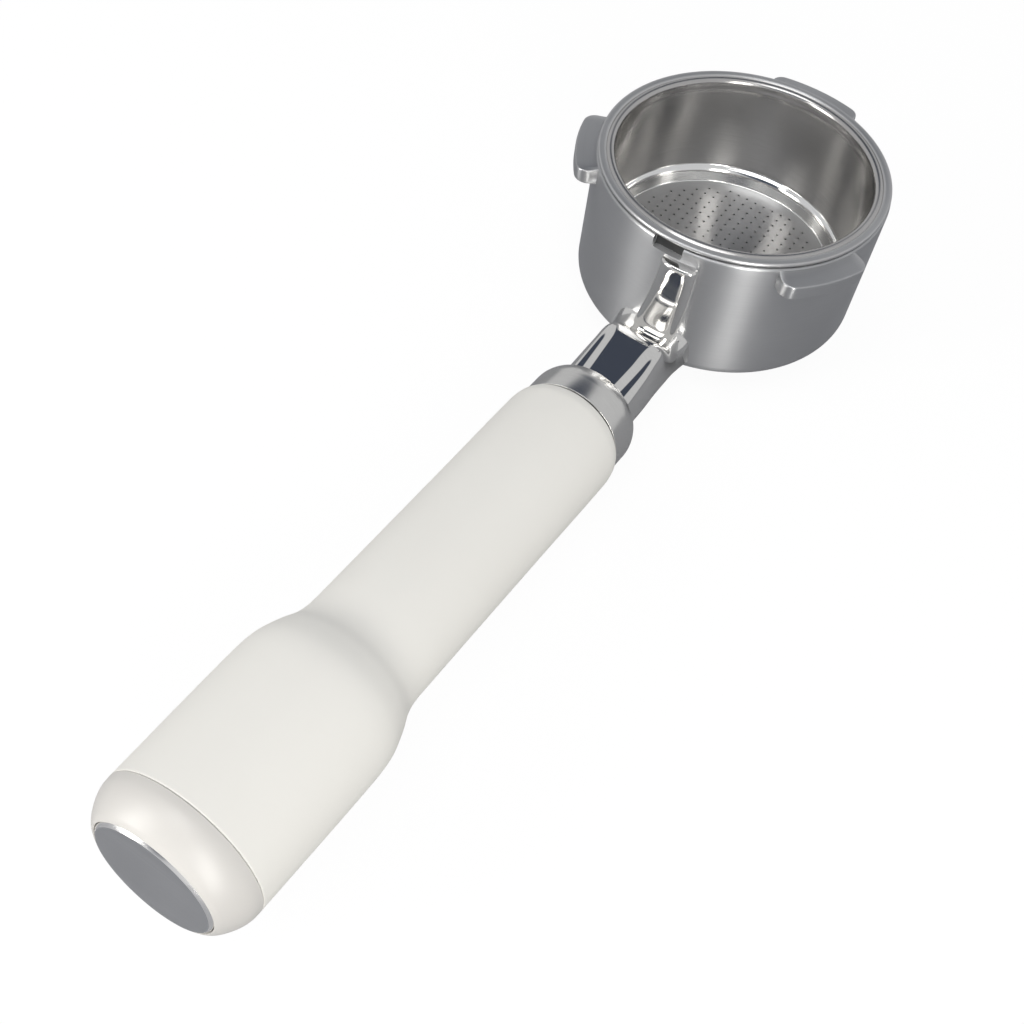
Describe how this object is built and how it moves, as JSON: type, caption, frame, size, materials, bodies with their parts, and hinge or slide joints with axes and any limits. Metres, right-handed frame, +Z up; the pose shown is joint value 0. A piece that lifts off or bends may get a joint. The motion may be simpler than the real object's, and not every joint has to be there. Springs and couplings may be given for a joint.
{
  "type": "portafilter",
  "caption": "Bottomless espresso portafilter: steel cup ring with bayonet lugs, lift-out filter basket, polished arm and a slim off-white handle.",
  "frame": {"origin": "on the cup's axis, in the plane of the cup's rim, where the machine's group head seats", "axes": "+Z up along the cup's axis, handle towards -Y"},
  "size_m": [0.0652, 0.2071, 0.0364],
  "materials": {
    "satin_steel": "satin stainless steel",
    "polished_steel": "mirror polished",
    "basket_steel": "fine circular satin",
    "disc_steel": "straight brushed",
    "plain_steel": "plain zinc plated",
    "spring_steel": "drawn wire",
    "aluminium": "turned",
    "off_white": "smooth satin",
    "black_rubber": "matt"
  },
  "bodies": {
    "holder": {"cup_ring": "satin_steel", "arm": "polished_steel", "collar": "polished_steel", "collar_seal": "black_rubber", "grip": "off_white", "grip_core": "aluminium", "turn_stop_pin": "plain_steel", "bolt_washer": "plain_steel", "lock_washer": "plain_steel", "tie_bolt": "plain_steel", "end_cap": "off_white", "disc_pad": "black_rubber", "end_disc": "disc_steel"},
    "spring_ring": {"basket_spring": "spring_steel"},
    "basket": {"filter_basket": "basket_steel"}
  },
  "joints": [
    {"name": "basket_turn", "type": "hinge", "parent": "holder", "child": "spring_ring", "pos_m": [0, 0, -0.008], "axis": [0, 0, 1], "continuous": true},
    {"name": "basket_lift", "type": "slide", "parent": "spring_ring", "child": "basket", "axis": [0, 0, 1], "range_m": [0, 0.04]}
  ]
}
